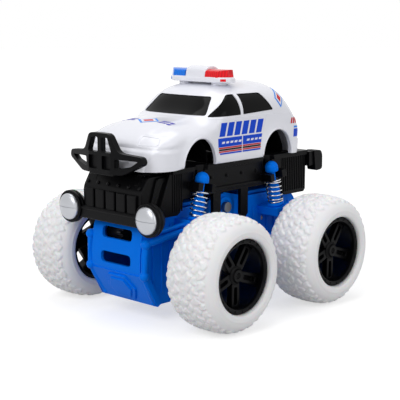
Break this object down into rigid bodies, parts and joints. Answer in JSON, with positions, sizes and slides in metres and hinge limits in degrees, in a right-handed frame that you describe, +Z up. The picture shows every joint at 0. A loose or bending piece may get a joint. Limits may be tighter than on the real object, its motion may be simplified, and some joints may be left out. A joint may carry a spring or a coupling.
{
  "type": "pull-back stunt car",
  "caption": "Lifted toy car: a moulded utility-vehicle shell on a black chassis, swinging sprung axle units with wind-up gear trains and soft balloon tyres on dished rims.",
  "frame": {"origin": "on the ground, under the middle of the car's overall box", "axes": "+Z up, +Y towards the rear of the car, +X towards its left side"},
  "size_m": [0.1376, 0.147, 0.1298],
  "materials": {
    "white_shell": "gloss",
    "white_tyre": "soft matte vinyl",
    "black_plastic": "satin",
    "black_gloss": "gloss",
    "blue_plastic": "gloss",
    "red_lens": "clear gloss",
    "blue_lens": "clear gloss",
    "silver_plate": "silver plating",
    "steel": "bright wire and rod",
    "gear_plastic": "natural acetal"
  },
  "bodies": {
    "chassis": {"chassis_frame": "black_plastic", "front_fascia": "black_plastic", "front_bumper": "black_plastic", "rear_bumper": "black_plastic", "headlight_left": "silver_plate", "headlight_right": "silver_plate", "body_shell": "white_shell", "window_insert": "black_gloss", "light_bar_base": "white_shell", "light_bar_lens_red": "red_lens", "light_bar_lens_blue": "blue_lens", "pivot_pin": "steel", "pivot_clip": "steel", "shell_screw_front": "steel", "shell_screw_rear": "steel"},
    "front_axle_unit": {"front_axle_housing": "blue_plastic", "front_gear_cover": "blue_plastic", "front_idler_pin": "steel", "front_drum_arbor": "steel", "front_shock_post_left": "blue_plastic", "front_spring_left": "steel", "front_shock_post_right": "blue_plastic", "front_spring_right": "steel"},
    "front_wheels": {"front_axle": "steel", "front_axle_pinion": "gear_plastic", "front_rim_left": "black_plastic", "front_tyre_left": "white_tyre", "front_rim_right": "black_plastic", "front_tyre_right": "white_tyre"},
    "front_idler": {"front_idler_gear": "gear_plastic"},
    "front_drum": {"front_spring_drum": "gear_plastic", "front_drum_lid": "gear_plastic", "front_mainspring": "steel"},
    "rear_axle_unit": {"rear_axle_housing": "blue_plastic", "rear_gear_cover": "blue_plastic", "rear_idler_pin": "steel", "rear_drum_arbor": "steel", "rear_shock_post_left": "blue_plastic", "rear_spring_left": "steel", "rear_shock_post_right": "blue_plastic", "rear_spring_right": "steel"},
    "rear_wheels": {"rear_axle": "steel", "rear_axle_pinion": "gear_plastic", "rear_rim_left": "black_plastic", "rear_tyre_left": "white_tyre", "rear_rim_right": "black_plastic", "rear_tyre_right": "white_tyre"},
    "rear_idler": {"rear_idler_gear": "gear_plastic"},
    "rear_drum": {"rear_spring_drum": "gear_plastic", "rear_drum_lid": "gear_plastic", "rear_mainspring": "steel"}
  },
  "joints": [
    {"name": "front_axle_swing", "type": "hinge", "parent": "chassis", "child": "front_axle_unit", "pos_m": [0, 0, 0.054], "axis": [-1, 0, 0], "range_deg": [0, 5], "stiffness_Nm_per_rad": 0.4, "springref_deg": -14.32, "deforming": ["front_spring_left", "front_spring_right"]},
    {"name": "front_wheels_spin", "type": "hinge", "parent": "front_axle_unit", "child": "front_wheels", "pos_m": [0, -0.039, 0.03], "axis": [1, 0, 0], "continuous": true},
    {"name": "front_idler_spin", "type": "hinge", "parent": "front_axle_unit", "child": "front_idler", "pos_m": [0, -0.0312, 0.04351], "axis": [1, 0, 0], "continuous": true},
    {"name": "front_drum_spin", "type": "hinge", "parent": "front_axle_unit", "child": "front_drum", "pos_m": [0, -0.0468, 0.04351], "axis": [1, 0, 0], "continuous": true},
    {"name": "rear_axle_swing", "type": "hinge", "parent": "chassis", "child": "rear_axle_unit", "pos_m": [0, 0, 0.054], "axis": [1, 0, 0], "range_deg": [0, 5], "stiffness_Nm_per_rad": 0.4, "springref_deg": -14.32, "deforming": ["rear_spring_left", "rear_spring_right"]},
    {"name": "rear_wheels_spin", "type": "hinge", "parent": "rear_axle_unit", "child": "rear_wheels", "pos_m": [0, 0.039, 0.03], "axis": [1, 0, 0], "continuous": true},
    {"name": "rear_idler_spin", "type": "hinge", "parent": "rear_axle_unit", "child": "rear_idler", "pos_m": [0, 0.0312, 0.04351], "axis": [1, 0, 0], "continuous": true},
    {"name": "rear_drum_spin", "type": "hinge", "parent": "rear_axle_unit", "child": "rear_drum", "pos_m": [0, 0.0468, 0.04351], "axis": [1, 0, 0], "continuous": true}
  ],
  "couplings": [
    {"joint": "front_idler_spin", "follows": "front_wheels_spin", "ratio": -0.44444},
    {"joint": "front_drum_spin", "follows": "front_wheels_spin", "ratio": 0.19753},
    {"joint": "rear_idler_spin", "follows": "rear_wheels_spin", "ratio": -0.44444},
    {"joint": "rear_drum_spin", "follows": "rear_wheels_spin", "ratio": 0.19753}
  ]
}
